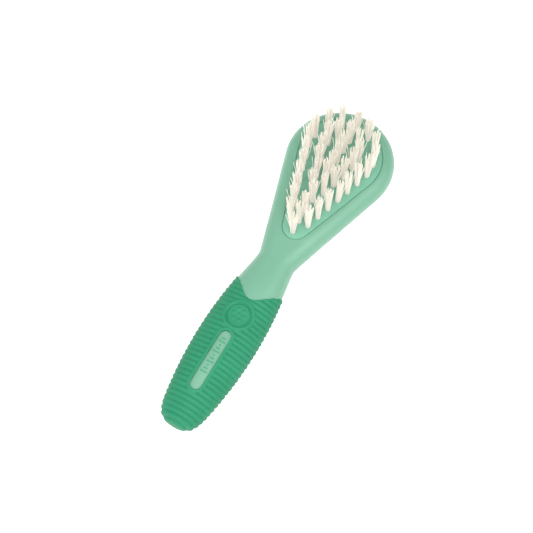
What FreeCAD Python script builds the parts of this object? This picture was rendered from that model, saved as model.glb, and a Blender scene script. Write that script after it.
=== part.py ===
"""Small pet-grooming bristle brush: moulded body, tufted plate, bristle tufts and a rubber grip.

Frame: millimetres, +Z up, bristles pointing up, +Y from the handle's end to the top of the head.
The origin is the centre of the footprint, on the surface that the brush's back lies on.
Distances "from the handle's end" are measured along +Y from the blunt end of the grip.
"""
import FreeCAD, Part
import math
import os
import Sketcher

SIZES = {
    "brush_length": 152.0,
    "mid_height": 8.0,
    # Head: a teardrop slab with a full round edge and a gently domed back.
    "head_radius": 22.4,
    "head_thickness": 10.4,
    "head_edge_round": 5.0,
    "head_taper": 16.9,
    "neck_half_width": 8.05,
    "neck_round": 27.0,
    "neck_start": 60.0,
    "neck_start_half_width": 9.4,
    "neck_end_at": 86.0,
    "neck_end_half_width": 7.4,
    "neck_end_half_height": 4.9,
    "back_rim_nose_radius": 5.4,
    "back_rim_nose_at": 94.0,
    "back_land_inset": 11.0,
    "back_land_nose_radius": 3.0,
    "back_land_nose_at": 97.0,
    # Tufted plate, let into the face of the head.
    "plate_radius": 17.2,
    "plate_nose_radius": 5.5,
    "plate_nose_at": 93.6,
    "plate_thickness": 5.0,
    "plate_gap": 0.05,
    "plate_edge_bevel": 0.3,
    "hole_radius": 1.05,
    "hole_depth": 4.0,
    # Tufts: bundles of filament folded over a flat metal anchor.
    "tuft_free_length": 17.7,
    "tuft_foot_radius": 0.85,
    "tuft_tip_radius": 1.65,
    "anchor_length": 1.96,
    "anchor_height": 1.3,
    "anchor_thickness": 0.35,
    "anchor_lift": 0.6,
    # Where the tufts stand.
    "nose_tuft_at": 90.95,
    "side_tuft_at": 96.2,
    "side_tuft_offset": 4.0,
    "side_tuft_pitch": 5.43,
    "side_tuft_lean": 17.0,
    "crown_centre_at": 129.6,
    "crown_half_width": 13.75,
    "crown_height": 13.9,
    "crown_step": 25.7,
    "inner_tuft_at": 111.6,
    "inner_tuft_offset": 2.3,
    "inner_crown_at": 130.7,
    "inner_crown_half_width": 7.4,
    "inner_crown_height": 6.6,
    "inner_crown_step": 38.5,
    "nose_column_at": 96.1,
    "nose_column_pitch": 5.25,
    "head_column_at": 117.2,
    "head_column_pitch": 5.0,
    # Grip: half width and half height are parabolas along the handle, rounded off at its end.
    "grip_length": 64.4,
    "grip_half_width": 12.37,
    "grip_widest_at": 40.0,
    "grip_side_radius": 168.0,
    "grip_half_height": 8.0,
    "grip_thickest_at": 38.0,
    "grip_back_radius": 356.0,
    "end_round_length": 12.0,
    "end_round_power": 4.0,
    "end_face_at": 0.02,
    "rib_count": 30.0,
    "rib_depth": 0.45,
    "rubber_thickness": 1.8,
    "rubber_lip": 0.85,
    "scoop_at": 57.0,
    "scoop_round": 4.5,
    "scoop_slope": 43.0,
    # Thumb disc and label window in the top of the grip.
    "disc_at": 49.0,
    "disc_radius": 4.65,
    "disc_groove": 0.55,
    "disc_groove_depth": 0.7,
    "bead_width": 1.25,
    "bead_height": 0.2,
    "label_low_at": 17.0,
    "label_high_at": 38.7,
    "label_radius": 2.4,
    "label_recess": 0.8,
}

SIDE_TUFTS = 7
CROWN_TUFTS = 3
INNER_SIDE_TUFTS = 4
INNER_CROWN_TUFTS = 2
NOSE_COLUMN_TUFTS = 3
HEAD_COLUMN_TUFTS = 4

# How close two heights or places are to count as the same, in millimetres.
SAME = 1e-3

doc = FreeCAD.newDocument("bristle_brush")
sheet = doc.addObject("Spreadsheet::Sheet", "Sizes")
for row, (alias, number) in enumerate(SIZES.items(), start=1):
    sheet.set("A%d" % row, alias)
    sheet.set("B%d" % row, "%r" % number)
    sheet.setAlias("B%d" % row, alias)
doc.recompute()


def size(alias):
    """A driving dimension, read back from the sheet."""
    return float(sheet.get(alias))


def along(alias_or_number):
    """Y in the part's frame of a distance from the handle's end."""
    distance = size(alias_or_number) if isinstance(alias_or_number, str) else alias_or_number
    return distance - size("brush_length") / 2


def vec(x, y, z=0.0):
    return FreeCAD.Vector(x, y, z)


def bind(item, **expressions):
    """Bind properties of a document object to expressions on the sheet."""
    for name, expression in expressions.items():
        item.setExpression(name.replace("__", "."), expression)


# ---------------------------------------------------------------- sketch helpers
def sketch_on(body, name, height):
    """A sketch in its body, parallel to the body's XY plane at the given height expression."""
    sketch = body.newObject("Sketcher::SketchObject", name)
    planes = {item.Role: item for item in body.Origin.OriginFeatures}
    sketch.AttachmentSupport = [(planes["XY_Plane"], "")]
    sketch.MapMode = "FlatFace"
    bind(sketch, AttachmentOffset__Base__z=height)
    return sketch


def constrain(sketch, constraint, expression):
    """Add a dimension to the sketch and bind it to an expression on the sheet."""
    index = sketch.addConstraint(constraint)
    sketch.setExpression("Constraints[%d]" % index, expression)


def head_centre_expression():
    return "Sizes.brush_length / 2 - Sizes.head_radius"


def draw_teardrop(sketch, big_radius, nose_radius, nose_centre):
    """Big arc about the head's centre, small nose arc, and the two lines tangent to both.

    Each of the three sizes is an expression; their values now are used as a first guess.
    """
    centre_y = along(size("brush_length") - size("head_radius"))
    big = sheet_value(big_radius)
    small = sheet_value(nose_radius)
    nose_y = sheet_value(nose_centre)
    turn = math.asin((big - small) / (centre_y - nose_y))

    def on_arc(centre, radius, angle):
        return vec(radius * math.cos(angle), centre + radius * math.sin(angle))

    up = vec(0, 0, 1)
    crown = Part.Circle(vec(0, centre_y), up, big)
    nose = Part.Circle(vec(0, nose_y), up, small)
    right_top = on_arc(centre_y, big, -turn)
    right_low = on_arc(nose_y, small, -turn)
    left_top = on_arc(centre_y, big, math.pi + turn)
    left_low = on_arc(nose_y, small, math.pi + turn)
    sketch.addGeometry(Part.ArcOfCircle(crown, -turn, math.pi + turn), False)
    sketch.addGeometry(Part.LineSegment(left_top, left_low), False)
    sketch.addGeometry(Part.ArcOfCircle(nose, math.pi + turn, 2 * math.pi - turn), False)
    sketch.addGeometry(Part.LineSegment(right_low, right_top), False)
    for first, second in ((0, 1), (1, 2), (2, 3), (3, 0)):
        start_of_second = 1
        end_of_first = 2
        sketch.addConstraint(Sketcher.Constraint("Tangent", first, end_of_first, second, start_of_second))
    for arc in (0, 2):
        sketch.addConstraint(Sketcher.Constraint("PointOnObject", arc, 3, -2))
    constrain(sketch, Sketcher.Constraint("Radius", 0, big), big_radius)
    constrain(sketch, Sketcher.Constraint("Radius", 2, small), nose_radius)
    constrain(sketch, Sketcher.Constraint("DistanceY", -1, 1, 0, 3, centre_y), head_centre_expression())
    constrain(sketch, Sketcher.Constraint("DistanceY", -1, 1, 2, 3, nose_y), nose_centre)


def sheet_value(expression):
    """The present value of an expression on the sheet."""
    return float(sheet.evalExpression(expression))


# ---------------------------------------------------------------- head
def draw_head_outline(sketch):
    """Head arc, tapering sides, concave neck arcs and the neck's stub under the grip."""
    centre_y = along(size("brush_length") - size("head_radius"))
    radius = size("head_radius")
    taper = math.radians(size("head_taper"))
    waist = size("neck_half_width")
    neck_round = size("neck_round")
    stub_x = size("neck_start_half_width")
    stub_y = along("neck_start")
    top = vec(radius * math.cos(taper), centre_y - radius * math.sin(taper))
    side_direction = vec(-math.sin(taper), -math.cos(taper))
    neck_x = waist + neck_round
    reach = (top.x - (neck_x - neck_round * math.cos(taper))) / math.sin(taper)
    low = top + side_direction * reach
    neck_y = low.y - neck_round * math.sin(taper)
    away = math.hypot(neck_x - stub_x, neck_y - stub_y)
    to_stub = math.atan2(stub_y - neck_y, stub_x - neck_x)
    swing = math.acos(neck_round / away)
    foot_angle = (to_stub - swing) % (2 * math.pi)
    side_angle = math.pi - taper
    foot = vec(neck_x + neck_round * math.cos(foot_angle), neck_y + neck_round * math.sin(foot_angle))
    up = vec(0, 0, 1)

    def mirrored(point):
        return vec(-point.x, point.y)

    stub = vec(stub_x, stub_y)
    right_neck = Part.Circle(vec(neck_x, neck_y), up, neck_round)
    left_neck = Part.Circle(vec(-neck_x, neck_y), up, neck_round)
    right_start, right_end = side_angle, foot_angle
    left_start, left_end = math.pi - foot_angle, math.pi - side_angle
    pieces = [
        Part.ArcOfCircle(Part.Circle(vec(0, centre_y), up, radius), -taper, math.pi + taper),
        Part.LineSegment(mirrored(top), mirrored(low)),
        Part.ArcOfCircle(left_neck, left_start, left_end),
        Part.LineSegment(mirrored(foot), mirrored(stub)),
        Part.LineSegment(mirrored(stub), stub),
        Part.LineSegment(stub, foot),
        Part.ArcOfCircle(right_neck, right_start, right_end),
        Part.LineSegment(low, top),
    ]
    for piece in pieces:
        sketch.addGeometry(piece, False)
    start, end, middle = 1, 2, 3
    tangents = [(0, end, 1, start), (1, end, 2, end), (2, start, 3, start),
                (5, end, 6, end), (6, start, 7, start), (7, end, 0, start)]
    for joint in tangents:
        sketch.addConstraint(Sketcher.Constraint("Tangent", *joint))
    for joint in ((3, end, 4, start), (4, end, 5, start)):
        sketch.addConstraint(Sketcher.Constraint("Coincident", *joint))
    sketch.addConstraint(Sketcher.Constraint("PointOnObject", 0, middle, -2))
    sketch.addConstraint(Sketcher.Constraint("Symmetric", 4, start, 4, end, -2))
    sketch.addConstraint(Sketcher.Constraint("Symmetric", 2, middle, 6, middle, -2))
    sketch.addConstraint(Sketcher.Constraint("Equal", 2, 6))
    constrain(sketch, Sketcher.Constraint("Radius", 0, radius), "Sizes.head_radius")
    constrain(sketch, Sketcher.Constraint("Radius", 6, neck_round), "Sizes.neck_round")
    constrain(sketch, Sketcher.Constraint("DistanceY", -1, 1, 0, middle, centre_y), head_centre_expression())
    constrain(sketch, Sketcher.Constraint("DistanceX", -1, 1, 6, middle, neck_x),
              "Sizes.neck_half_width + Sizes.neck_round")
    constrain(sketch, Sketcher.Constraint("DistanceX", -1, 1, 5, start, stub_x),
              "Sizes.neck_start_half_width")
    constrain(sketch, Sketcher.Constraint("DistanceY", 5, start, -1, 1, -stub_y),
              "Sizes.brush_length / 2 - Sizes.neck_start")
    constrain(sketch, Sketcher.Constraint("Angle", -2, start, 7, start, -taper),
              "-Sizes.head_taper * 1deg")


def make_head():
    """Head and neck slab with a full round edge, a domed back and the recess for the plate."""
    body = doc.addObject("PartDesign::Body", "head_block")
    outline = sketch_on(body, "head_outline", "Sizes.mid_height - Sizes.head_thickness / 2")
    draw_head_outline(outline)
    slab = body.newObject("PartDesign::Pad", "head_slab")
    slab.Profile = outline
    bind(slab, Length="Sizes.head_thickness")
    doc.recompute()

    edge_round = body.newObject("PartDesign::Fillet", "head_edge")
    edge_round.Base = (slab, rim_edges(slab.Shape))
    bind(edge_round, Radius="Sizes.head_edge_round")

    back_rim = sketch_on(body, "back_rim", "Sizes.mid_height - Sizes.head_thickness / 2")
    draw_teardrop(back_rim, "Sizes.head_radius - Sizes.head_edge_round", "Sizes.back_rim_nose_radius",
                  "Sizes.back_rim_nose_at - Sizes.brush_length / 2")
    back_land = sketch_on(body, "back_land", "0")
    draw_teardrop(back_land, "Sizes.head_radius - Sizes.back_land_inset", "Sizes.back_land_nose_radius",
                  "Sizes.back_land_nose_at - Sizes.brush_length / 2")
    dome = body.newObject("PartDesign::AdditiveLoft", "back_dome")
    dome.Profile = back_rim
    dome.Sections = [back_land]
    dome.Ruled = True

    recess_outline = sketch_on(body, "recess_outline", "Sizes.mid_height + Sizes.head_thickness / 2")
    draw_teardrop(recess_outline, "Sizes.plate_radius + Sizes.plate_gap",
                  "Sizes.plate_nose_radius + Sizes.plate_gap", plate_nose_expression())
    recess = body.newObject("PartDesign::Pocket", "plate_recess")
    recess.Profile = recess_outline
    bind(recess, Length="Sizes.plate_thickness")
    body.Tip = recess
    doc.recompute()
    return body


def plate_nose_expression():
    return "Sizes.plate_nose_at - Sizes.brush_length / 2"


def rim_edges(shape):
    """Names of the top and bottom edges of a slab, leaving out its straight end across the handle."""
    names = []
    stub_y = along("neck_start")
    for number, edge in enumerate(shape.Edges, start=1):
        box = edge.BoundBox
        level = box.ZLength < SAME
        at_stub = box.YMax < stub_y + SAME
        if level and not at_stub:
            names.append("Edge%d" % number)
    return names


# ---------------------------------------------------------------- handle sections
def handle_expression(distance, widest, limit, radius):
    """Half size of the grip at a distance from the handle's end: a parabola rounded off at the end."""
    parabola = "(Sizes.%s - (%g - Sizes.%s)^2 / (2 * Sizes.%s))" % (limit, distance, widest, radius)
    if distance >= size("end_round_length"):
        return parabola
    power = "Sizes.end_round_power"
    rounding = "(1 - (1 - %g / Sizes.end_round_length)^%s)^(1 / %s)" % (distance, power, power)
    return "%s * %s" % (parabola, rounding)


def half_width(distance):
    return handle_expression(distance, "grip_widest_at", "grip_half_width", "grip_side_radius")


def half_height(distance):
    return handle_expression(distance, "grip_thickest_at", "grip_half_height", "grip_back_radius")


def ellipse_across(name, distance, width, height):
    """An upright ellipse across the handle; width and height are half sizes, as expressions."""
    ellipse = doc.addObject("Part::Ellipse", name)
    ellipse.Placement = FreeCAD.Placement(vec(0, 0), FreeCAD.Rotation(vec(1, 0, 0), 90))
    bind(ellipse, MajorRadius=width, MinorRadius=height, Placement__Base__z="Sizes.mid_height",
         Placement__Base__y="%g - Sizes.brush_length / 2" % distance)
    return ellipse


def loft_of(name, sections, ruled):
    loft = doc.addObject("Part::Loft", name)
    loft.Sections = sections
    loft.Solid = True
    loft.Ruled = ruled
    return loft


CORE_STATIONS = [3.0, 7.0, 12.0, 20.0, 30.0, 40.0, 48.0, 55.0]
LIP_STATIONS = [60.0, 64.4]
NECK_LEFT = [0.75, 0.5, 0.25, 0.0]


def towards_lip(which, share):
    """Half width or half height in the neck: a share of the way from its end inside the head to the lip."""
    at_lip = (half_width if which == "width" else half_height)(LIP_STATIONS[-1]) + " - Sizes.rubber_lip"
    at_end = "Sizes.neck_end_half_" + which
    return "%s + (%s - %s) * %g" % (at_end, at_lip, at_end, share)


def make_handle_core():
    """The hard core of the handle: it sits under the rubber and runs out through the neck."""
    sections = []
    for distance in CORE_STATIONS:
        sections.append(ellipse_across("core_section", distance,
                                       half_width(distance) + " - Sizes.rubber_thickness",
                                       half_height(distance) + " - Sizes.rubber_thickness"))
    for distance in LIP_STATIONS:
        sections.append(ellipse_across("core_section", distance,
                                       half_width(distance) + " - Sizes.rubber_lip",
                                       half_height(distance) + " - Sizes.rubber_lip"))
    for left in NECK_LEFT:
        distance = size("neck_end_at") - left * (size("neck_end_at") - LIP_STATIONS[-1])
        sections.append(ellipse_across("neck_section", distance, towards_lip("width", left ** 2),
                                       towards_lip("height", left)))
    return loft_of("handle_core", sections, False)


def capsule(name, radius, bottom, top, low_at="Sizes.label_low_at", high_at="Sizes.label_high_at"):
    """An upright prism with round ends along the handle; every argument is an expression."""
    box = doc.addObject("Part::Box", name + "_middle")
    height = "(%s) - (%s)" % (top, bottom)
    bind(box, Length="2 * (%s)" % radius, Width="(%s) - (%s)" % (high_at, low_at), Height=height,
         Placement__Base__x="-(%s)" % radius, Placement__Base__z=bottom,
         Placement__Base__y="(%s) - Sizes.brush_length / 2" % low_at)
    pieces = [box]
    for end_name, end_at in (("_low_end", low_at), ("_high_end", high_at)):
        pieces.append(upright_cylinder(name + end_name, radius, end_at, bottom, top))
    return fuse(name, pieces)


def upright_cylinder(name, radius, at, bottom, top):
    cylinder = doc.addObject("Part::Cylinder", name)
    bind(cylinder, Radius=radius, Height="(%s) - (%s)" % (top, bottom), Placement__Base__z=bottom,
         Placement__Base__y="(%s) - Sizes.brush_length / 2" % at)
    return cylinder


def fuse(name, pieces):
    fused = doc.addObject("Part::MultiFuse", name)
    fused.Shapes = pieces
    return fused


def common(name, pieces):
    shared = doc.addObject("Part::MultiCommon", name)
    shared.Shapes = pieces
    return shared


def cut(name, base, tool):
    result = doc.addObject("Part::Cut", name)
    result.Base = base
    result.Tool = tool
    return result


def smooth_handle(name, inset):
    """The grip's outer form without ribs, shrunk all round by an inset expression."""
    sections = []
    for distance in CORE_STATIONS + LIP_STATIONS:
        sections.append(ellipse_across(name + "_section", distance,
                                       "%s - (%s)" % (half_width(distance), inset),
                                       "%s - (%s)" % (half_height(distance), inset)))
    return loft_of(name, sections, False)


def make_handle_body(head, core):
    """The hard moulding: head, neck, handle core and the boss that shows through the grip's window."""
    boss_prism = capsule("boss_prism", "Sizes.label_radius", "Sizes.mid_height",
                         "Sizes.mid_height + Sizes.grip_half_height")
    boss = common("label_boss", [boss_prism, smooth_handle("boss_form", "Sizes.label_recess")])
    return fuse("handle_body", [head, core, boss])


# ---------------------------------------------------------------- rubber grip
def make_ribbed_form():
    """The grip's outer form: one crest and one valley per rib, from the blunt end to the scoop."""
    ribs = int(size("rib_count"))
    pitch = size("grip_length") / ribs
    tip = size("end_face_at")
    sections = [ellipse_across("rib_end", tip, half_width(tip), half_height(tip))]
    for rib in range(1, ribs + 1):
        valley = (rib - 0.5) * pitch
        crest = rib * pitch
        sections.append(ellipse_across("rib_valley", valley, half_width(valley) + " - Sizes.rib_depth",
                                       half_height(valley) + " - Sizes.rib_depth"))
        sections.append(ellipse_across("rib_crest", crest, half_width(crest), half_height(crest)))
    return loft_of("ribbed_form", sections, True)


def make_scoop():
    """The cutter that shapes the grip's front edge: a V with a round nose, through the whole height."""
    slope = math.radians(size("scoop_slope"))
    nose = size("scoop_round")
    centre_y = along("scoop_at") + nose
    reach = 2 * size("grip_half_width")
    touch = vec(nose * math.sin(slope), centre_y - nose * math.cos(slope))
    corner = touch + vec(math.cos(slope), math.sin(slope)) * reach
    nose_circle = Part.Circle(vec(0, centre_y), vec(0, 0, 1), nose)
    quarter_turn = math.pi / 2
    arc = Part.ArcOfCircle(nose_circle, -quarter_turn - slope, -quarter_turn + slope)
    left_touch, left_corner = vec(-touch.x, touch.y), vec(-corner.x, corner.y)
    edges = [arc.toShape(), Part.LineSegment(touch, corner).toShape(),
             Part.LineSegment(corner, left_corner).toShape(), Part.LineSegment(left_corner, left_touch).toShape()]
    face = Part.Face(Part.Wire(Part.__sortEdges__(edges)))
    scoop = doc.addObject("Part::Feature", "scoop")
    scoop.Shape = face.extrude(vec(0, 0, 2 * size("mid_height")))
    return scoop


def make_grip(core):
    """The ribbed rubber sleeve over the core, with smooth beads round the disc and the label window."""
    mid = "Sizes.mid_height"
    over = "Sizes.mid_height + 2 * Sizes.grip_half_height"
    bead_radius = "Sizes.disc_radius + Sizes.disc_groove + Sizes.bead_width"
    label_bead = capsule("label_bead_prism", "Sizes.label_radius + Sizes.bead_width", mid, over)
    disc_bead = upright_cylinder("disc_bead_prism", bead_radius, "Sizes.disc_at", mid, over)
    bead_form = smooth_handle("bead_form", "-Sizes.bead_height")
    beads = common("beads", [fuse("bead_prisms", [label_bead, disc_bead]), bead_form])
    beaded = fuse("beaded_form", [make_ribbed_form(), beads])

    ring_outside = upright_cylinder("groove_outside", "Sizes.disc_radius + Sizes.disc_groove", "Sizes.disc_at",
                                    mid, over)
    ring_inside = upright_cylinder("groove_inside", "Sizes.disc_radius", "Sizes.disc_at", mid, over)
    groove_floor = smooth_handle("groove_floor", "Sizes.disc_groove_depth")
    groove = cut("disc_groove", cut("groove_ring", ring_outside, ring_inside), groove_floor)

    tube = cut("open_sleeve", cut("form_with_groove", beaded, groove), core)
    window = capsule("label_window", "Sizes.label_radius", mid, over)
    return cut("grip_sleeve", cut("sleeve_with_window", tube, window), make_scoop())


# ---------------------------------------------------------------- tufted plate
def tuft_places():
    """Name and (x, y) of each tuft: outer teardrop, inner teardrop and two columns on the middle line."""
    lean = math.radians(size("side_tuft_lean"))
    step_x = size("side_tuft_pitch") * math.sin(lean)
    step_y = size("side_tuft_pitch") * math.cos(lean)
    outer = [(0.0, along("nose_tuft_at"))]
    for number in range(SIDE_TUFTS):
        outer += both_sides(size("side_tuft_offset") + number * step_x, along("side_tuft_at") + number * step_y)
    outer += crown(CROWN_TUFTS, "crown_centre_at", "crown_half_width", "crown_height", "crown_step")
    inner = []
    for number in range(INNER_SIDE_TUFTS):
        inner += both_sides(size("inner_tuft_offset") + number * step_x, along("inner_tuft_at") + number * step_y)
    inner += crown(INNER_CROWN_TUFTS, "inner_crown_at", "inner_crown_half_width", "inner_crown_height",
                   "inner_crown_step")
    middle = []
    for number in range(NOSE_COLUMN_TUFTS):
        middle.append((0.0, along("nose_column_at") + number * size("nose_column_pitch")))
    for number in range(HEAD_COLUMN_TUFTS):
        middle.append((0.0, along("head_column_at") + number * size("head_column_pitch")))
    places = []
    for ring, spots in (("outer", outer), ("inner", inner), ("middle", middle)):
        for number, spot in enumerate(spots, start=1):
            places.append(("tuft_%s_%02d" % (ring, number), spot))
    return places


def both_sides(x, y):
    return [(x, y), (-x, y)]


def crown(count, centre_at, half_wide, high, step):
    """Tufts over the round top of a ring: one on the middle line and count pairs beside it."""
    centre_y = along(centre_at)
    spots = [(0.0, centre_y + size(high))]
    for number in range(1, count + 1):
        angle = math.radians(number * size(step))
        spots += both_sides(size(half_wide) * math.sin(angle), centre_y + size(high) * math.cos(angle))
    return spots


def make_plate(places):
    """The teardrop plate that is let into the head, with a blind hole for each tuft."""
    body = doc.addObject("PartDesign::Body", "bristle_plate")
    outline = sketch_on(body, "plate_outline",
                        "Sizes.mid_height + Sizes.head_thickness / 2 - Sizes.plate_thickness")
    draw_teardrop(outline, "Sizes.plate_radius", "Sizes.plate_nose_radius", plate_nose_expression())
    blank = body.newObject("PartDesign::Pad", "plate_blank")
    blank.Profile = outline
    bind(blank, Length="Sizes.plate_thickness")
    doc.recompute()

    face_height = size("mid_height") + size("head_thickness") / 2
    top_edges = ["Edge%d" % number for number, edge in enumerate(blank.Shape.Edges, start=1)
                 if edge.BoundBox.ZMin > face_height - SAME]
    bevel = body.newObject("PartDesign::Chamfer", "plate_bevel")
    bevel.Base = (blank, top_edges)
    bind(bevel, Size="Sizes.plate_edge_bevel")

    hole_centres = sketch_on(body, "hole_centres", "Sizes.mid_height + Sizes.head_thickness / 2")
    for number, (_, (x, y)) in enumerate(places):
        hole_centres.addGeometry(Part.Circle(vec(x, y), vec(0, 0, 1), size("hole_radius")), False)
        constrain(hole_centres, Sketcher.Constraint("Radius", number, size("hole_radius")), "Sizes.hole_radius")
    holes = body.newObject("PartDesign::Pocket", "tuft_holes")
    holes.Profile = hole_centres
    bind(holes, Length="Sizes.hole_depth")
    body.Tip = holes
    doc.recompute()
    return body


# ---------------------------------------------------------------- tufts and their anchors
HOLE_FLOOR = "Sizes.mid_height + Sizes.head_thickness / 2 - Sizes.hole_depth"


def make_anchor(name, spot):
    """A flat piece of wire that holds the folded tuft down in its hole."""
    x, y = spot
    anchor = doc.addObject("Part::Box", name)
    bind(anchor, Length="Sizes.anchor_length", Width="Sizes.anchor_thickness", Height="Sizes.anchor_height",
         Placement__Base__x="%r - Sizes.anchor_length / 2" % x,
         Placement__Base__y="%r - Sizes.anchor_thickness / 2" % y,
         Placement__Base__z=HOLE_FLOOR + " + Sizes.anchor_lift")
    return anchor


def make_tuft(name, spot, anchor):
    """One tuft: a flared bundle from the floor of its hole to the bristle tips, slotted for its anchor."""
    bundle = doc.addObject("Part::Cone", name + "_bundle")
    bundle.Placement = FreeCAD.Placement(vec(spot[0], spot[1]), FreeCAD.Rotation())
    bind(bundle, Radius1="Sizes.tuft_foot_radius", Radius2="Sizes.tuft_tip_radius",
         Height="Sizes.hole_depth + Sizes.tuft_free_length", Placement__Base__z=HOLE_FLOOR)
    return cut(name, bundle, anchor)


# ---------------------------------------------------------------- build, check and write
def make_brush():
    places = tuft_places()
    core = make_handle_core()
    nodes = [make_handle_body(make_head(), core), make_grip(core), make_plate(places)]
    anchors = []
    for name, spot in places:
        anchor = make_anchor(name.replace("tuft", "anchor"), spot)
        anchors.append(anchor)
        nodes.append(make_tuft(name, spot, anchor))
    group = doc.addObject("Part::Compound", "tuft_anchors")
    group.Links = anchors
    nodes.append(group)
    doc.recompute()
    return nodes


def check_document(nodes):
    """Stop if any object failed, or if a sub-part has no sound solid."""
    for item in doc.Objects:
        if "Invalid" in item.State or "Error" in item.State:
            raise RuntimeError("%s failed: %s" % (item.Name, item.State))
    for node in nodes:
        shape = node.Shape
        if shape.isNull() or not shape.isValid() or not shape.Solids:
            raise RuntimeError("%s has no sound solid" % node.Label)


def write_parts(nodes):
    os.makedirs("parts", exist_ok=True)
    for node in nodes:
        node.Shape.exportStep("parts/%s.step" % node.Label)
        print("%-18s %3d solid(s) %9.1f mm3" % (node.Label, len(node.Shape.Solids), node.Shape.Volume))


brush_nodes = make_brush()
check_document(brush_nodes)
write_parts(brush_nodes)
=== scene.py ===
"""Looks of a small pet bristle brush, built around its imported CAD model.

Everything is in metres in the CAD frame. Shape functions work in millimetres, with "along" measured
from the blunt end of the handle and "up" measured from the middle height of the brush.
"""

import math
import random

import bmesh
import bpy
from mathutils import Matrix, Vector


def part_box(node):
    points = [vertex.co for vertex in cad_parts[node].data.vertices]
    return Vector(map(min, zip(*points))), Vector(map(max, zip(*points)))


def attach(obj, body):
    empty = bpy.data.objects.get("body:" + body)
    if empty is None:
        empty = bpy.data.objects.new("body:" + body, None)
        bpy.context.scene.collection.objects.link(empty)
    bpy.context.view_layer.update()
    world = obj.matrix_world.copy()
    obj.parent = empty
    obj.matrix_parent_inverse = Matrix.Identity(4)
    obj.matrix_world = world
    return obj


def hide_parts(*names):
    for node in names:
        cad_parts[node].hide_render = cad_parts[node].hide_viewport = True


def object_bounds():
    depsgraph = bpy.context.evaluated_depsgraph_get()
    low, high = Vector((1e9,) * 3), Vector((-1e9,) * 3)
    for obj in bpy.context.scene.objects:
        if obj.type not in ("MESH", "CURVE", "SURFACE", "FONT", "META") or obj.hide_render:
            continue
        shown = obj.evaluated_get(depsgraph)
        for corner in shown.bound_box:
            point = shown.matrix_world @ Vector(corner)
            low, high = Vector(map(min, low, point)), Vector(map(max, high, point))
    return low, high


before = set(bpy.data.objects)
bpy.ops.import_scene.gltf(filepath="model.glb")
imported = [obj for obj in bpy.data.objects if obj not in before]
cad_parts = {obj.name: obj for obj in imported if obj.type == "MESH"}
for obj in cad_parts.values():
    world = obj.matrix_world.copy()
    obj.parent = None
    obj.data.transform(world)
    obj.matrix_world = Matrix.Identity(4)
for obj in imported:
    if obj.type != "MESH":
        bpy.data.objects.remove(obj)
CAD_LOW, CAD_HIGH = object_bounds()

MM = 0.001
PLATE_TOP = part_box("bristle_plate")[1].z
BRISTLE_TOP = CAD_HIGH.z
BRUSH_LENGTH = 152.0
HANDLE_END = CAD_HIGH.y - BRUSH_LENGTH * MM

# Head and neck, in millimetres.
HEAD_RADIUS = 22.4
HEAD_CENTRE = 129.6
HEAD_HALF_THICKNESS = 5.2
HEAD_TAPER = math.radians(16.9)
NECK_HALF_WIDTH = 8.08
NECK_WAIST_AT = 76.0
NECK_FLARE = 0.165
NECK_SOFTNESS = 0.6
BACK_DOME = 2.8
BODY_RING_POINTS = 96
MID_HEIGHT = PLATE_TOP / MM - HEAD_HALF_THICKNESS

# Where one form blends into the next, in millimetres along the brush.
LIP_STARTS = 48.0
LIP_FULL = 56.0
CORE_ENDS = 55.0
NECK_HIGH_AT = 57.0
CORE_WIDENS_AT = 60.0
RIM_STARTS = 60.0
NECK_STARTS = 61.0
DOME_STARTS = 64.0
SIDES_LEAN_FROM = 70.0
SIDES_LEAN_FULL = 84.0
NECK_LOW_AT = 88.0
RIM_FULL = 94.0
DOME_FULL = 96.0

# How far in from the head's outline its back starts to dome, and where the dome is full.
DOME_RIM = 3.5
DOME_LAND = 13.5

# Plate recess in the head.
RECESS_RADIUS = 17.27
RECESS_NOSE_RADIUS = 5.57
RECESS_NOSE_AT = 93.6
RECESS_DEPTH = 5.0
RECESS_BEVEL = 0.3

# Grip, in millimetres.
GRIP_LENGTH = 64.4
GRIP_HALF_WIDTH = 12.37
GRIP_WIDEST_AT = 40.0
GRIP_SIDE_RADIUS = 168.0
GRIP_HALF_HEIGHT = 8.0
GRIP_THICKEST_AT = 38.0
GRIP_BACK_RADIUS = 356.0
END_ROUND_LENGTH = 12.0
END_ROUND_POWER = 4.0
RIB_COUNT = 30
RIB_DEPTH = 0.45
RIB_DEPTH_AT_END = 1.0
RIB_DEEP_LENGTH = 4.5
RIB_PITCH = GRIP_LENGTH / RIB_COUNT
RUBBER_THICKNESS = 1.8
RUBBER_LIP = 0.7
SCOOP_AT = 57.0
SCOOP_ROUND = 4.5
SCOOP_SLOPE = math.radians(43.0)
LIP_ROUND_LENGTH = 0.45
LIP_ROUND_DEPTH = 0.3
GRIP_RING_POINTS = 320
STATIONS_PER_RIB = 14
STATIONS_PAST_GRIP = 10
SMALLEST_HALF_SIZE = 0.1
RELIEF_FULL_HEIGHT = 2.0
CUTTER_MARGIN = 2.0
GRIP_CREASE = 50.0
DISC_AT = 49.0
DISC_RADIUS = 4.65
DISC_GROOVE = 0.55
DISC_GROOVE_DEPTH = 0.42
DISC_RAISE = 0.12
DISC_DISH = 0.25
DISC_MARGIN = 0.4
PAD_EDGE_OUT = 0.12
PAD_EDGE_BLEND = 0.55
GROOVE_EDGE_IN = 0.2
GROOVE_EDGE_BLEND = 0.5
BUMP_COUNT = 7
BUMP_STEP = math.pi / 3
BUMP_RING = 2.4
BUMP_RADIUS = 0.8
BUMP_HEIGHT = 0.32
BUMP_POWER = 1.5
BEAD_WIDTH = 1.25
BEAD_HEIGHT = 0.2
BEAD_REACH = 0.62
RIB_FADE_INSET = 0.1
RIB_FADE = 0.5
LABEL_LOW = 17.0
LABEL_HIGH = 38.7
LABEL_RADIUS = 2.4
LABEL_RECESS = 0.8
BOSS_MARGIN = 0.7
BOSS_EDGE = 0.5

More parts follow.
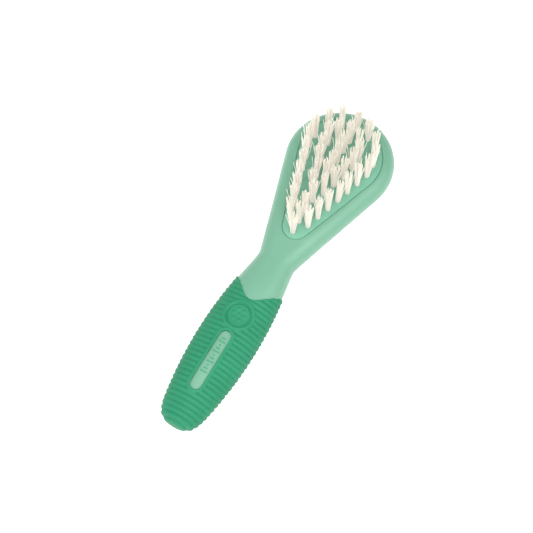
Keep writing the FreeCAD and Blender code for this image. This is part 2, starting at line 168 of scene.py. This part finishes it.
# Raised marks in the label.
MARK_COUNT = 11
MARK_HALF_LENGTHS = (1.45, 0.9, 0.42)
MARK_RADIUS = 0.36
MARK_HEIGHT = 0.2
MARKS_FROM_LOW_END = 5.6
MARKS_FROM_HIGH_END = 0.9
MARK_CREASE = 60.0

# Base colours, from dark to light, set to this scene's strong light.
MINT = ((0.087, 0.218, 0.145), (0.097, 0.230, 0.155))
# The plate's mint is the body's mint painted lighter, a painted light that lifts the shade the tufts cast
# on the plate.
PLATE_MINT_PAINTED_LIGHT = ((0.097, 0.258, 0.178), (0.107, 0.270, 0.188))
RUBBER_GREEN = ((0.0068, 0.135, 0.0640), (0.0098, 0.152, 0.0735))
MARK_GREEN = ((0.040, 0.185, 0.103), (0.048, 0.199, 0.113))
NYLON_WHITE = ((0.735, 0.715, 0.668), (0.815, 0.80, 0.757))
WIRE_BRASS = ((0.52, 0.38, 0.16), (0.70, 0.55, 0.28))
FLOOR_WHITE = ((0.93, 0.93, 0.93), (0.95, 0.95, 0.95))
NYLON_GLOW = (1.0, 0.96, 0.89, 1.0)
NYLON_GLOW_STRENGTH = 0.35
NYLON_TRANSLUCENT_SHARE = 0.6
WORLD_STRENGTH = 0.95


# ---------------------------------------------------------------- small helpers
def smooth(value):
    """Smooth step from 0 to 1."""
    t = min(max(value, 0.0), 1.0)
    return t * t * (3 - 2 * t)


def rise(value, start, end):
    """Smooth step from 0 at start to 1 at end, in either direction."""
    return smooth((value - start) / (end - start))


def mix(first, second, share):
    return first + (second - first) * share


def at(x, along, up):
    """A point in the frame, from millimetres across, along from the handle's end and up from mid height."""
    return Vector((x * MM, HANDLE_END + along * MM, (MID_HEIGHT + up) * MM))


def add_mesh(name, points, faces):
    mesh = bpy.data.meshes.new(name)
    mesh.from_pydata(points, [], faces)
    mesh.update()
    piece = bpy.data.objects.new(name, mesh)
    bpy.context.scene.collection.objects.link(piece)
    return piece


def loft(name, rings):
    """A closed skin through rings of equal point count, with a flat cap at each end."""
    count = len(rings[0])
    points = [point for ring in rings for point in ring]
    faces = []
    for row in range(len(rings) - 1):
        low, high = row * count, (row + 1) * count
        for i in range(count):
            j = (i + 1) % count
            faces.append((low + i, low + j, high + j, high + i))
    faces.append(tuple(reversed(range(count))))
    start = (len(rings) - 1) * count
    faces.append(tuple(range(start, start + count)))
    piece = add_mesh(name, points, faces)
    return tidy_normals(piece)


def tidy_normals(piece):
    work = bmesh.new()
    work.from_mesh(piece.data)
    bmesh.ops.remove_doubles(work, verts=work.verts, dist=1e-7)
    bmesh.ops.recalc_face_normals(work, faces=work.faces)
    work.to_mesh(piece.data)
    work.free()
    return piece


def carve(piece, cutter):
    """Cut one closed mesh out of another for good, and delete the cutter."""
    modifier = piece.modifiers.new("carve", "BOOLEAN")
    modifier.operation = "DIFFERENCE"
    modifier.solver = "EXACT"
    modifier.object = cutter
    graph = bpy.context.evaluated_depsgraph_get()
    carved = bpy.data.meshes.new_from_object(piece.evaluated_get(graph))
    piece.modifiers.clear()
    piece.data = carved
    bpy.data.objects.remove(cutter)


def soften(piece, angle=35.0):
    """Smooth shading with creases only where faces meet at a sharper angle."""
    for polygon in piece.data.polygons:
        polygon.use_smooth = True
    piece.data.set_sharp_from_angle(angle=math.radians(angle))


def finish_piece(piece, material, replaced=()):
    piece.data.materials.clear()
    piece.data.materials.append(material)
    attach(piece, "root")
    if replaced:
        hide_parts(*replaced)
    return piece


# ---------------------------------------------------------------- shape of the brush
def end_rounding(along):
    """Shrinks the handle's sections towards its blunt end."""
    if along >= END_ROUND_LENGTH:
        return 1.0
    left = 1 - max(along, 0.0) / END_ROUND_LENGTH
    return (1 - left ** END_ROUND_POWER) ** (1 / END_ROUND_POWER)


def grip_half_width(along):
    side = GRIP_HALF_WIDTH - (along - GRIP_WIDEST_AT) ** 2 / (2 * GRIP_SIDE_RADIUS)
    return side * end_rounding(along)


def grip_half_height(along):
    side = GRIP_HALF_HEIGHT - (along - GRIP_THICKEST_AT) ** 2 / (2 * GRIP_BACK_RADIUS)
    return side * end_rounding(along)


def grip_top(x, along):
    """Height of the grip's smooth form over a point, without ribs."""
    across = min(abs(x) / grip_half_width(along), 1.0)
    return grip_half_height(along) * math.sqrt(1 - across * across)


def rubber_at(along):
    """Thickness of the rubber: a full wall under the hand, a thinner lip at the front edge."""
    return mix(RUBBER_THICKNESS, RUBBER_LIP, rise(along, LIP_STARTS, LIP_FULL))


def side_half_width(along):
    """Half width of the head and neck ahead of the grip, without the head's round top."""
    head_side = (HEAD_RADIUS + (along - HEAD_CENTRE) * math.sin(HEAD_TAPER)) / math.cos(HEAD_TAPER)
    neck_side = NECK_HALF_WIDTH + NECK_FLARE * (NECK_WAIST_AT - along)
    gap = head_side - neck_side
    return (head_side + neck_side + math.hypot(gap, NECK_SOFTNESS)) / 2


def body_half_width(along):
    crown_starts = HEAD_CENTRE - HEAD_RADIUS * math.sin(HEAD_TAPER)
    if along > crown_starts:
        reach = HEAD_RADIUS ** 2 - (along - HEAD_CENTRE) ** 2
        return math.sqrt(max(reach, 0.0))
    if along > GRIP_LENGTH:
        return side_half_width(along)
    core = grip_half_width(along) - rubber_at(along)
    return mix(core, side_half_width(along), rise(along, CORE_WIDENS_AT, GRIP_LENGTH))


def body_half_height(along):
    """Half height of the body along its middle line, without the dome of the head's back."""
    core = grip_half_height(along) - rubber_at(along)
    neck_high = grip_half_height(NECK_HIGH_AT) - RUBBER_LIP
    neck = mix(HEAD_HALF_THICKNESS, neck_high, rise(along, NECK_LOW_AT, NECK_HIGH_AT))
    return mix(core, neck, rise(along, CORE_ENDS, NECK_STARTS))


def edge_radius(along, width):
    """How far in the edge's rounding reaches: to the middle in the handle, a rim's width on the head."""
    return mix(width, HEAD_HALF_THICKNESS, rise(along, RIM_STARTS, RIM_FULL))


def from_edge(x, along, width):
    """Distance inward from the outline, square to it."""
    on_crown = abs(x) * math.sin(HEAD_TAPER) + (along - HEAD_CENTRE) * math.cos(HEAD_TAPER) > 0
    if on_crown:
        return HEAD_RADIUS - math.hypot(x, along - HEAD_CENTRE)
    lean = mix(1.0, math.cos(HEAD_TAPER), rise(along, SIDES_LEAN_FROM, SIDES_LEAN_FULL))
    side = side_half_width(along) if along > HEAD_CENTRE - HEAD_RADIUS else width
    return (side - abs(x)) * lean


def body_up(x, along, width):
    """Half height of the body at a point, and how far its back is domed there."""
    inward = max(from_edge(x, along, width), 0.0)
    reach = edge_radius(along, width)
    share = 1 - min(inward / max(reach, 1e-6), 1.0)
    half = body_half_height(along) * math.sqrt(max(1 - share * share, 0.0))
    dome = BACK_DOME * rise(inward, DOME_RIM, DOME_LAND) * rise(along, DOME_STARTS, DOME_FULL)
    return half, dome


def label_distance(x, along):
    """Distance from the middle line of the label's capsule."""
    nearest = min(max(along, LABEL_LOW), LABEL_HIGH)
    return math.hypot(x, along - nearest)


def disc_distance(x, along):
    return math.hypot(x, along - DISC_AT)


# ---------------------------------------------------------------- hard moulding
def body_ring(along, per_side):
    """One closed ring across the body: over the top from right to left, and back along the belly."""
    width = body_half_width(along)
    top, belly = [], []
    for i in range(per_side):
        x = width * math.cos(math.pi * i / per_side)
        half, _ = body_up(x, along, width)
        boss = smooth((LABEL_RADIUS + BOSS_MARGIN - label_distance(x, along)) / BOSS_EDGE)
        if boss > 0:
            half = mix(half, grip_top(x, along) - LABEL_RECESS, boss)
        top.append(at(x, along, half))
        back, dome = body_up(-x, along, width)
        belly.append(at(-x, along, -back - dome))
    return top + belly


def spaced(start, step, count):
    return [start + step * i for i in range(count)]


def body_stations():
    """Where the body's rings stand: close together under the label, and closer round the crown."""
    stations = spaced(3.0, 0.5, 104) + spaced(55.0, 0.75, 60) + spaced(101.0, 1.0, 29)
    steps = 48
    stations += [HEAD_CENTRE + HEAD_RADIUS * math.sin(math.pi / 2 * i / steps) for i in range(1, steps)]
    return sorted(set(stations))


def teardrop(radius, nose_radius, nose_at, steps=64):
    """Points of a teardrop outline: round crown, straight sides, round nose."""
    turn = math.asin((radius - nose_radius) / (HEAD_CENTRE - nose_at))
    outline = []
    for centre, size, start, sweep in ((HEAD_CENTRE, radius, -turn, math.pi + 2 * turn),
                                       (nose_at, nose_radius, math.pi + turn, math.pi - 2 * turn)):
        for i in range(steps + 1):
            angle = start + sweep * i / steps
            outline.append((size * math.cos(angle), centre + size * math.sin(angle)))
    return outline


def recess_cutter():
    """The space for the plate, flared at its mouth so that the recess has a fine bevelled edge."""
    levels = [(HEAD_HALF_THICKNESS - RECESS_DEPTH, 0.0),
              (HEAD_HALF_THICKNESS - RECESS_BEVEL, 0.0),
              (HEAD_HALF_THICKNESS + RECESS_BEVEL, 2 * RECESS_BEVEL)]
    rings = []
    for up, grow in levels:
        outline = teardrop(RECESS_RADIUS + grow, RECESS_NOSE_RADIUS + grow, RECESS_NOSE_AT)
        rings.append([at(x, along, up) for x, along in outline])
    return loft("recess_cutter", rings)


def make_body(material):
    rings = [body_ring(along, BODY_RING_POINTS) for along in body_stations()]
    body = loft("moulded_body", rings)
    carve(body, recess_cutter())
    soften(body)
    return finish_piece(body, material, ["handle_body"])


# ---------------------------------------------------------------- rubber grip
def rib_offset(along):
    """Height of the ribbing below its crests: round crests, sharp valleys, deeper at the blunt end."""
    depth = mix(RIB_DEPTH_AT_END, RIB_DEPTH, smooth(along / RIB_DEEP_LENGTH))
    return -depth * (1 - abs(math.cos(math.pi * along / RIB_PITCH)))


def scoop_inside(x, along):
    """Signed distance behind the grip's front edge: positive in the rubber."""
    centre = SCOOP_AT + SCOOP_ROUND
    straight = (abs(x) * math.sin(SCOOP_SLOPE) - (along - centre) * math.cos(SCOOP_SLOPE)) - SCOOP_ROUND
    on_nose = abs(x) * math.cos(SCOOP_SLOPE) + (along - centre) * math.sin(SCOOP_SLOPE) < 0
    if on_nose:
        return math.hypot(x, along - centre) - SCOOP_ROUND
    return straight


def bead(distance, middle):
    """A rounded smooth bead beside an opening."""
    t = (distance - middle) / (BEAD_WIDTH * BEAD_REACH)
    return BEAD_HEIGHT * math.sqrt(1 - t * t) if abs(t) < 1 else 0.0


def disc_relief(x, along):
    """The thumb disc: a slightly dished round pad in a soft groove, with a plain pattern of small bumps."""
    distance = disc_distance(x, along)
    inside = smooth((DISC_RADIUS + PAD_EDGE_OUT - distance) / PAD_EDGE_BLEND)
    outside = smooth((distance - DISC_RADIUS - DISC_GROOVE + GROOVE_EDGE_IN) / GROOVE_EDGE_BLEND)
    level = (DISC_RAISE - DISC_DISH * (1 - smooth(distance / DISC_RADIUS))) * inside
    level -= DISC_GROOVE_DEPTH * (1 - inside) * (1 - outside)
    for i in range(BUMP_COUNT):
        ring = BUMP_RING if i else 0.0
        bump_x = ring * math.cos(BUMP_STEP * i)
        bump_along = DISC_AT + ring * math.sin(BUMP_STEP * i)
        t = math.hypot(x - bump_x, along - bump_along) / BUMP_RADIUS
        if t < 1:
            level += BUMP_HEIGHT * (1 - t * t) ** BUMP_POWER
    return level


def grip_offset(x, along, on_top):
    """How far the rubber stands off the grip's smooth form: ribs, beads, disc and rounded front edge."""
    ribs = 1.0
    raised = 0.0
    if on_top:
        label = label_distance(x, along)
        disc = disc_distance(x, along)
        disc_edge = DISC_RADIUS + DISC_GROOVE
        ribs = smooth((label - LABEL_RADIUS - BEAD_WIDTH + RIB_FADE_INSET) / RIB_FADE)
        ribs *= smooth((disc - disc_edge - BEAD_WIDTH + RIB_FADE_INSET) / RIB_FADE)
        raised = max(bead(label, LABEL_RADIUS + BEAD_WIDTH / 2), bead(disc, disc_edge + BEAD_WIDTH / 2))
        if disc < disc_edge + DISC_MARGIN:
            raised += disc_relief(x, along)
    edge = min(max(scoop_inside(x, along) / LIP_ROUND_LENGTH, 0.0), 1.0)
    lip = -LIP_ROUND_DEPTH * (1 - math.sqrt(1 - (1 - edge) ** 2))
    return rib_offset(along) * ribs + raised + lip


def grip_ring(along, count):
    width, height = grip_half_width(along), grip_half_height(along)
    fade = min(1.0, height / RELIEF_FULL_HEIGHT)
    ring = []
    for i in range(count):
        angle = 2 * math.pi * i / count
        x, up = width * math.cos(angle), height * math.sin(angle)
        slope_x = math.cos(angle) / max(width, SMALLEST_HALF_SIZE)
        slope_up = math.sin(angle) / max(height, SMALLEST_HALF_SIZE)
        normal = Vector((slope_x, slope_up)).normalized()
        offset = grip_offset(x, along, up > 0) * fade
        ring.append(at(x + normal.x * offset, along, up + normal.y * offset))
    return ring


def grip_inner_ring(along, count):
    width = grip_half_width(along) - rubber_at(along)
    height = grip_half_height(along) - rubber_at(along)
    angles = [2 * math.pi * i / count for i in range(count)]
    return [at(width * math.cos(angle), along, height * math.sin(angle)) for angle in angles]


def prism(name, outline, low, high):
    """A closed upright prism over an outline, from one height to another."""
    bottom = [at(x, along, low) for x, along in outline]
    top = [at(x, along, high) for x, along in outline]
    return loft(name, [bottom, top])


def capsule_outline(radius, steps=24):
    outline = []
    for centre, start in ((LABEL_HIGH, 0.0), (LABEL_LOW, math.pi)):
        for i in range(steps + 1):
            angle = start + math.pi * i / steps
            outline.append((radius * math.cos(angle), centre + radius * math.sin(angle)))
    return outline


def scoop_outline(steps=24):
    centre = SCOOP_AT + SCOOP_ROUND
    reach = 2 * GRIP_HALF_WIDTH
    outline = []
    for i in range(steps + 1):
        angle = -math.pi / 2 - SCOOP_SLOPE + 2 * SCOOP_SLOPE * i / steps
        outline.append((SCOOP_ROUND * math.cos(angle), centre + SCOOP_ROUND * math.sin(angle)))
    last_x, last_along = outline[-1]
    corner = (last_x + reach * math.cos(SCOOP_SLOPE), last_along + reach * math.sin(SCOOP_SLOPE))
    outline.append(corner)
    outline.append((-corner[0], corner[1]))
    return outline


def make_grip(material):
    last = RIB_COUNT * STATIONS_PER_RIB + STATIONS_PAST_GRIP
    outer = [0.02, 0.05, 0.1, 0.2] + [RIB_PITCH * i / STATIONS_PER_RIB for i in range(2, last)]
    inner = [outer[-1], 60.0, 57.0, 54.0, 51.0, 48.0, 40.0, 30.0, 20.0, 12.0, 8.0, 5.0, 3.0]
    rings = [grip_ring(along, GRIP_RING_POINTS) for along in outer]
    rings += [grip_inner_ring(along, GRIP_RING_POINTS) for along in inner]
    grip = loft("rubber_grip", rings)
    reach = GRIP_HALF_HEIGHT + CUTTER_MARGIN
    carve(grip, prism("window_cutter", capsule_outline(LABEL_RADIUS), 0.0, reach))
    carve(grip, prism("scoop_cutter", scoop_outline(), -reach, reach))
    soften(grip, GRIP_CREASE)
    return finish_piece(grip, material, ["grip_sleeve"])


def make_label_marks(material):
    """A plain row of raised bars and dots in the label, in place of lettering."""
    work = bmesh.new()
    first, last = LABEL_LOW + MARKS_FROM_LOW_END, LABEL_HIGH - MARKS_FROM_HIGH_END
    for i in range(MARK_COUNT):
        along = mix(first, last, i / (MARK_COUNT - 1))
        half_length = MARK_HALF_LENGTHS[i % len(MARK_HALF_LENGTHS)]
        add_mark(work, along, half_length, MARK_RADIUS, MARK_HEIGHT)
    mesh = bpy.data.meshes.new("label_marks")
    work.to_mesh(mesh)
    work.free()
    piece = bpy.data.objects.new("label_marks", mesh)
    bpy.context.scene.collection.objects.link(piece)
    soften(piece, MARK_CREASE)
    return finish_piece(piece, material)


def add_mark(work, along, half_length, radius, height):
    """One low rounded bar across the label, or a dot where it is short."""
    rings = []
    steps = 24
    for grow, up in ((1.0, -0.1), (1.0, 0.6 * height), (0.86, 0.9 * height), (0.6, height)):
        ring = []
        for i in range(steps):
            angle = 2 * math.pi * i / steps
            straight = max(half_length - radius, 0.0)
            x = radius * grow * math.cos(angle) + math.copysign(straight, math.cos(angle))
            y = along + radius * grow * math.sin(angle)
            ring.append(work.verts.new(at(x, y, grip_top(x, y) - LABEL_RECESS + up)))
        rings.append(ring)
    for low, high in zip(rings, rings[1:]):
        for i in range(steps):
            j = (i + 1) % steps
            work.faces.new((low[i], low[j], high[j], high[i]))
    work.faces.new(rings[-1])
    work.faces.new(list(reversed(rings[0])))


# ---------------------------------------------------------------- bristle tufts
FILAMENTS = 62
FILAMENT_SIDES = 6
FILAMENT_RADIUS = 0.135
FILAMENT_STEPS = (0.0, 0.25, 0.5, 0.75, 0.93, 1.0)
TUFT_FOOT_RADIUS = 0.92
TUFT_TIP_RADIUS = 1.88
TUFT_SUNK = 1.5
TUFT_CLUMPS = 9
CLUMP_PULL = 0.45
STRAY_SHARE = 0.06
GOLDEN_ANGLE = math.pi * (3 - math.sqrt(5))
FILAMENT_TAPER = 0.15
FILAMENT_POINT = 0.45
FILAMENT_CREASE = 60.0
MIDDLE_CLUMP_OFFSET = 0.2
MIDDLE_CLUMP_DROP = (0.0, 0.6)
CLUMP_TURN = (-0.25, 0.25)
CLUMP_REACH = (0.6, 1.02)
CLUMP_DROP = (0.0, 1.4)

# Unevenness of the tufts: ranges in millimetres, radians or shares of the plain value.
TUFT_DROP = (0.0, 0.4)
TUFT_LEAN = 0.25
TUFT_FLARE = (0.84, 1.1)
FILAMENT_TURN = (-0.15, 0.15)
FILAMENT_JITTER = 0.09
STRAY_REACH = (1.25, 1.7)
FILAMENT_DROP = (0.0, 0.5)
FILAMENT_BOW = (0.9, 1.3)
FILAMENT_THICKNESS = (0.85, 1.1)


def flat_vector(reach, angle):
    return Vector((reach * math.cos(angle), reach * math.sin(angle), 0))


def add_filament(points, faces, foot, tip, bow, radius):
    """A thin closed tube from foot to tip, bowed outward on its way and pointed at its end."""
    start = len(points)
    for t in FILAMENT_STEPS:
        centre = foot.lerp(tip, t)
        centre.x, centre.y = mix(foot.x, tip.x, t ** bow), mix(foot.y, tip.y, t ** bow)
        size = radius * (1 - FILAMENT_TAPER * t) * (FILAMENT_POINT if t == 1.0 else 1.0)
        for i in range(FILAMENT_SIDES):
            points.append(centre + flat_vector(size * MM, 2 * math.pi * i / FILAMENT_SIDES))
    last = start + (len(FILAMENT_STEPS) - 1) * FILAMENT_SIDES
    for low in range(start, last, FILAMENT_SIDES):
        for i in range(FILAMENT_SIDES):
            j = (i + 1) % FILAMENT_SIDES
            faces.append((low + i, low + j, low + FILAMENT_SIDES + j, low + FILAMENT_SIDES + i))
    faces.append(tuple(start + i for i in reversed(range(FILAMENT_SIDES))))
    faces.append(tuple(last + i for i in range(FILAMENT_SIDES)))


def clump_tips(draw, flare):
    """Where a tuft's clumps of filaments gather at the top, and how far below its highest tip each ends."""
    turn = draw.uniform(0, 2 * math.pi)
    clumps = [(flat_vector(MIDDLE_CLUMP_OFFSET * flare, turn), draw.uniform(*MIDDLE_CLUMP_DROP))]
    for i in range(TUFT_CLUMPS - 1):
        angle = turn + 2 * math.pi * i / (TUFT_CLUMPS - 1) + draw.uniform(*CLUMP_TURN)
        place = flat_vector(flare * draw.uniform(*CLUMP_REACH), angle)
        clumps.append((place, draw.uniform(*CLUMP_DROP)))
    return clumps


def make_tuft(node, material):
    """A flared bundle of nylon filaments in place of one plain CAD tuft."""
    draw = random.Random(node)
    low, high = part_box(node)
    centre = Vector(((low.x + high.x) / 2, (low.y + high.y) / 2, 0))
    foot_height = PLATE_TOP - TUFT_SUNK * MM
    top_height = BRISTLE_TOP - draw.uniform(*TUFT_DROP) * MM
    lean = Vector((draw.gauss(0, TUFT_LEAN), draw.gauss(0, TUFT_LEAN), 0))
    flare = TUFT_TIP_RADIUS * draw.uniform(*TUFT_FLARE)
    clumps = clump_tips(draw, flare)
    points, faces = [], []
    for i in range(FILAMENTS):
        share = math.sqrt((i + 0.5) / FILAMENTS)
        angle = i * GOLDEN_ANGLE + draw.uniform(*FILAMENT_TURN)
        own = flat_vector(flare * share, angle)
        gathered, drop = min(clumps, key=lambda clump: (clump[0] - own).length)
        jitter = Vector((draw.gauss(0, FILAMENT_JITTER), draw.gauss(0, FILAMENT_JITTER), 0))
        spread = own.lerp(gathered, CLUMP_PULL) + jitter
        if draw.random() < STRAY_SHARE:
            spread = flat_vector(flare * draw.uniform(*STRAY_REACH), angle)
        foot = centre + flat_vector(TUFT_FOOT_RADIUS * share, angle) * MM
        tip = centre + (spread + lean) * MM
        foot.z = foot_height
        tip.z = top_height - (drop + draw.uniform(*FILAMENT_DROP)) * MM
        bow = draw.uniform(*FILAMENT_BOW)
        radius = FILAMENT_RADIUS * draw.uniform(*FILAMENT_THICKNESS)
        add_filament(points, faces, foot, tip, bow, radius)
    tuft = add_mesh("bristles_" + node.removeprefix("tuft_"), points, faces)
    soften(tuft, FILAMENT_CREASE)
    return finish_piece(tuft, material, [node])


# ---------------------------------------------------------------- materials
def new_material(name):
    material = bpy.data.materials.new(name)
    material.use_nodes = True
    tree = material.node_tree
    shader = tree.nodes["Principled BSDF"]
    return material, tree, shader


def noise_node(tree, scale, detail=3.0):
    """Noise in the object's own space; scale is in features per metre."""
    place = tree.nodes.new("ShaderNodeTexCoord")
    noise = tree.nodes.new("ShaderNodeTexNoise")
    noise.inputs["Scale"].default_value = scale
    noise.inputs["Detail"].default_value = detail
    noise.inputs["Roughness"].default_value = 0.55
    tree.links.new(place.outputs["Object"], noise.inputs["Vector"])
    return noise


def ramp_node(tree, source, low, high, low_at=0.3, high_at=0.7):
    ramp = tree.nodes.new("ShaderNodeValToRGB")
    ramp.color_ramp.elements[0].position = low_at
    ramp.color_ramp.elements[1].position = high_at
    ramp.color_ramp.elements[0].color = (*low, 1)
    ramp.color_ramp.elements[1].color = (*high, 1)
    tree.links.new(source, ramp.inputs["Fac"])
    return ramp


def vary_roughness(tree, shader, scale, low, high):
    noise = noise_node(tree, scale)
    spread = tree.nodes.new("ShaderNodeMapRange")
    spread.inputs["To Min"].default_value = low
    spread.inputs["To Max"].default_value = high
    tree.links.new(noise.outputs["Fac"], spread.inputs["Value"])
    tree.links.new(spread.outputs["Result"], shader.inputs["Roughness"])


def add_bump(tree, shader, scale, distance, strength):
    noise = noise_node(tree, scale)
    bump = tree.nodes.new("ShaderNodeBump")
    bump.inputs["Strength"].default_value = strength
    bump.inputs["Distance"].default_value = distance
    tree.links.new(noise.outputs["Fac"], bump.inputs["Height"])
    tree.links.new(bump.outputs["Normal"], shader.inputs["Normal"])


def moulded_plastic(name, low, high):
    """Satin polypropylene: faint clouding in the colour, fine orange peel, soft gloss."""
    material, tree, shader = new_material(name)
    clouds = noise_node(tree, 45.0, 4.0)
    ramp = ramp_node(tree, clouds.outputs["Fac"], low, high)
    tree.links.new(ramp.outputs["Color"], shader.inputs["Base Color"])
    vary_roughness(tree, shader, 900.0, 0.33, 0.45)
    add_bump(tree, shader, 2600.0, 0.00003, 0.5)
    shader.inputs["IOR"].default_value = 1.49
    shader.inputs["Subsurface Weight"].default_value = 0.12
    shader.inputs["Subsurface Radius"].default_value = (0.002, 0.003, 0.0024)
    shader.inputs["Subsurface Scale"].default_value = 1.0
    return material


def soft_rubber(name, low, high):
    """Matte thermoplastic rubber with a fine grain."""
    material, tree, shader = new_material(name)
    clouds = noise_node(tree, 120.0, 5.0)
    ramp = ramp_node(tree, clouds.outputs["Fac"], low, high)
    tree.links.new(ramp.outputs["Color"], shader.inputs["Base Color"])
    vary_roughness(tree, shader, 1500.0, 0.55, 0.72)
    add_bump(tree, shader, 5200.0, 0.00004, 0.6)
    shader.inputs["IOR"].default_value = 1.47
    shader.inputs["Specular IOR Level"].default_value = 0.28
    return material


def bristle_nylon():
    """Off-white nylon: each filament has its own shade and lets much of the light on through.

    It also emits a little, which keeps the crowded middle tufts about as pale as the outer ones.
    """
    material, tree, shader = new_material("bristle_nylon")
    geometry = tree.nodes.new("ShaderNodeNewGeometry")
    ramp = ramp_node(tree, geometry.outputs["Random Per Island"], *NYLON_WHITE, low_at=0.0, high_at=1.0)
    tree.links.new(ramp.outputs["Color"], shader.inputs["Base Color"])
    vary_roughness(tree, shader, 2500.0, 0.38, 0.52)
    add_bump(tree, shader, 9000.0, 0.00001, 0.4)
    shader.inputs["Emission Color"].default_value = NYLON_GLOW
    shader.inputs["Emission Strength"].default_value = NYLON_GLOW_STRENGTH
    through = tree.nodes.new("ShaderNodeBsdfTranslucent")
    tree.links.new(ramp.outputs["Color"], through.inputs["Color"])
    both = tree.nodes.new("ShaderNodeMixShader")
    both.inputs["Fac"].default_value = NYLON_TRANSLUCENT_SHARE
    tree.links.new(shader.outputs["BSDF"], both.inputs[1])
    tree.links.new(through.outputs["BSDF"], both.inputs[2])
    tree.links.new(both.outputs["Shader"], tree.nodes["Material Output"].inputs["Surface"])
    return material


def anchor_wire():
    material, tree, shader = new_material("anchor_wire")
    streaks = noise_node(tree, 1800.0, 2.0)
    ramp = ramp_node(tree, streaks.outputs["Fac"], *WIRE_BRASS)
    tree.links.new(ramp.outputs["Color"], shader.inputs["Base Color"])
    vary_roughness(tree, shader, 2200.0, 0.28, 0.42)
    shader.inputs["Metallic"].default_value = 1.0
    return material


def studio_floor():
    material, tree, shader = new_material("studio_floor")
    clouds = noise_node(tree, 3.0, 2.0)
    ramp = ramp_node(tree, clouds.outputs["Fac"], *FLOOR_WHITE)
    tree.links.new(ramp.outputs["Color"], shader.inputs["Base Color"])
    shader.inputs["Roughness"].default_value = 0.9
    return material


def paint_node(node, material):
    """Give a carried-over CAD node its material."""
    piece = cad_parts[node]
    piece.data.materials.clear()
    piece.data.materials.append(material)


# ---------------------------------------------------------------- stage
def add_area(name, location, size, power, target):
    light = bpy.data.lights.new(name, "AREA")
    light.shape = "DISK"
    light.size = size
    light.energy = power
    lamp = bpy.data.objects.new(name, light)
    bpy.context.scene.collection.objects.link(lamp)
    lamp.location = location
    lamp.rotation_euler = (target - Vector(location)).to_track_quat("-Z", "Y").to_euler()


def make_stage():
    reach = 1.5
    corners = [(-reach, -reach, CAD_LOW.z), (reach, -reach, CAD_LOW.z),
               (reach, reach, CAD_LOW.z), (-reach, reach, CAD_LOW.z)]
    floor = add_mesh("floor", corners, [(0, 1, 2, 3)])
    floor.data.materials.append(studio_floor())

    world = bpy.data.worlds.new("studio")
    world.use_nodes = True
    background = world.node_tree.nodes["Background"]
    background.inputs["Color"].default_value = (1.0, 1.0, 1.0, 1.0)
    background.inputs["Strength"].default_value = WORLD_STRENGTH
    bpy.context.scene.world = world

    target = Vector((0, 0, MID_HEIGHT * MM))
    add_area("softbox", (0.50, 0.06, 0.66), 0.7, 2.8, target)
    add_area("key", (0.19, -0.30, 0.84), 0.5, 9.0, target)
    add_area("fill", (-0.34, -0.44, 0.62), 0.6, 3.0, target)
    bpy.context.scene.view_settings.view_transform = "Standard"


def make_camera():
    """Camera at the photo's viewing angle: steep, from the lower right of the handle."""
    bearing = math.radians(30.2)
    elevation = math.radians(67.0)
    distance = 0.5953
    target = at(-2.54, 74.6, 0.0)
    back = Vector((math.sin(bearing) * math.cos(elevation), -math.cos(bearing) * math.cos(elevation),
                   math.sin(elevation)))
    camera_data = bpy.data.cameras.new("camera")
    camera_data.sensor_width = 36.0
    camera_data.lens = 101.3
    camera = bpy.data.objects.new("camera", camera_data)
    bpy.context.scene.collection.objects.link(camera)
    camera.location = target + back * distance
    camera.rotation_euler = (-back).to_track_quat("-Z", "Y").to_euler()
    bpy.context.scene.camera = camera


# ---------------------------------------------------------------- build
make_stage()
make_camera()
mint = moulded_plastic("mint_plastic", *MINT)
# The plate's material is the body's mint painted lighter, to lift the shade the tufts cast on the plate.
plate_mint_painted_light = moulded_plastic("plate_plastic", *PLATE_MINT_PAINTED_LIGHT)
rubber = soft_rubber("grip_rubber", *RUBBER_GREEN)
mark_rubber = soft_rubber("label_mark_rubber", *MARK_GREEN)
make_body(mint)
make_grip(rubber)
make_label_marks(mark_rubber)
paint_node("bristle_plate", plate_mint_painted_light)
paint_node("tuft_anchors", anchor_wire())
nylon = bristle_nylon()
tuft_nodes = sorted(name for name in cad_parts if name.startswith("tuft_"))
tuft_nodes.remove("tuft_anchors")
for tuft_node in tuft_nodes:
    make_tuft(tuft_node, nylon)
